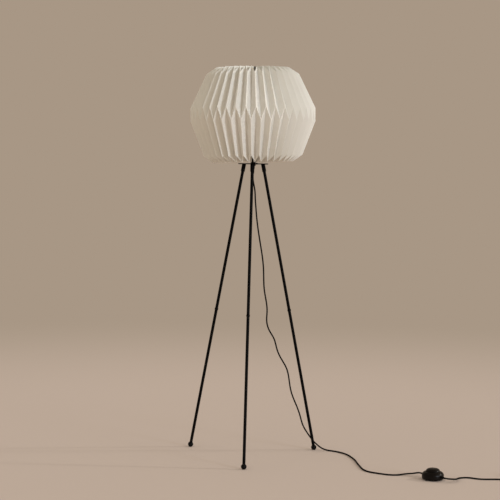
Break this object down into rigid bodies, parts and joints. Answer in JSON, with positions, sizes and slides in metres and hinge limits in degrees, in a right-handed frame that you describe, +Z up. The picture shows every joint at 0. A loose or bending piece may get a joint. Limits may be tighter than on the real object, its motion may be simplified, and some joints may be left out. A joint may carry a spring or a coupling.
{
  "type": "paper lantern floor lamp",
  "caption": "Floor lamp with a folded white paper shade on a round black plate with slim splayed screw-in legs, a black textile lead, a foot switch and a flat plug.",
  "frame": {"origin": "on the floor, at the middle of the lamp's own footprint, which runs from the front ball foot to the back of the shade; the lamp's axis stands 28 mm behind it", "axes": "+Z up along the lamp's axis; -Y towards the front leg; +X to the side where the lead lies"},
  "size_m": [1.3735, 0.6958, 1.562],
  "materials": {
    "black_steel": "fine-textured satin black powder coat",
    "zinc_steel": "bright zinc plate",
    "foot_rubber": "moulded black rubber, soft sheen",
    "black_plastic": "moulded black plastic, matt",
    "textile_lead": "braided black textile sleeve over a round lead",
    "steatite": "unglazed steatite",
    "brass_contact": "stamped brass",
    "paper": "heavy off-white folded paper with a fine fibre grain",
    "nickel_plate": "nickel plate",
    "white_plastic": "moulded white plastic",
    "opal_diffuser": "opal diffuser, soft gloss",
    "switch_plastic": "polished brown-black moulded plastic",
    "hook_tape": "woven black tie strap"
  },
  "bodies": {
    "root": {"base_plate": "black_steel", "leg_socket_1": "black_steel", "leg_socket_2": "black_steel", "leg_socket_3": "black_steel", "leg_inserts": "zinc_steel", "upper_leg_1": "black_steel", "upper_leg_2": "black_steel", "upper_leg_3": "black_steel", "leg_joint_1": "black_steel", "leg_joint_2": "black_steel", "leg_joint_3": "black_steel", "lower_leg_1": "black_steel", "lower_leg_2": "black_steel", "lower_leg_3": "black_steel", "ball_foot_1": "foot_rubber", "ball_foot_2": "foot_rubber", "ball_foot_3": "foot_rubber", "stem_tube": "black_steel", "stem_nuts": "black_steel", "stem_washers": "black_steel", "lock_screw": "black_steel", "cord_grip": "black_plastic", "cord_in_stem": "textile_lead", "holder_foot": "black_plastic", "holder_shell": "black_plastic", "contact_block": "steatite", "centre_contact": "brass_contact", "ring_nut": "black_plastic", "shade_carrier": "black_steel", "carrier_knob": "black_plastic", "paper_shade_1": "paper", "paper_shade_2": "paper", "paper_shade_3": "paper", "paper_shade_4": "paper", "paper_shade_5": "paper", "lamp_lead": "textile_lead", "mains_lead": "textile_lead", "lead_coil": "textile_lead", "lead_tail": "textile_lead", "coil_tie": "hook_tape", "switch_tray": "switch_plastic", "switch_cover": "switch_plastic", "button_spring": "zinc_steel", "switch_block": "white_plastic", "cord_clamps": "black_plastic", "switch_lead_ends": "textile_lead", "switch_screws": "zinc_steel", "switch_pads": "foot_rubber", "switch_relief_in": "foot_rubber", "switch_relief_out": "foot_rubber", "plug_body": "black_plastic", "plug_boot": "black_plastic", "plug_lead_end": "textile_lead", "plug_pins": "nickel_plate"},
    "button": {"press_button": "switch_plastic"},
    "bulb_contact": {"bulb_tip": "brass_contact"},
    "bulb": {"bulb_cap": "nickel_plate", "bulb_neck": "white_plastic", "bulb_globe": "opal_diffuser"}
  },
  "joints": [
    {"name": "button_press", "type": "slide", "parent": "root", "child": "button", "axis": [0, 0, -1], "range_m": [0, 0.003], "stiffness_N_per_m": 600, "springref_m": -0.003, "deforming": ["button_spring"]},
    {"name": "bulb_rise", "type": "slide", "parent": "root", "child": "bulb_contact", "axis": [0, 0, 1], "range_m": [0, 0.0146]},
    {"name": "bulb_turn", "type": "hinge", "parent": "bulb_contact", "child": "bulb", "pos_m": [0, 0.028, 1.3], "axis": [0, 0, 1], "range_deg": [0, 1440]}
  ],
  "couplings": [
    {"joint": "bulb_rise", "follows": "bulb_turn", "m_per_rad": 0.00057774}
  ]
}
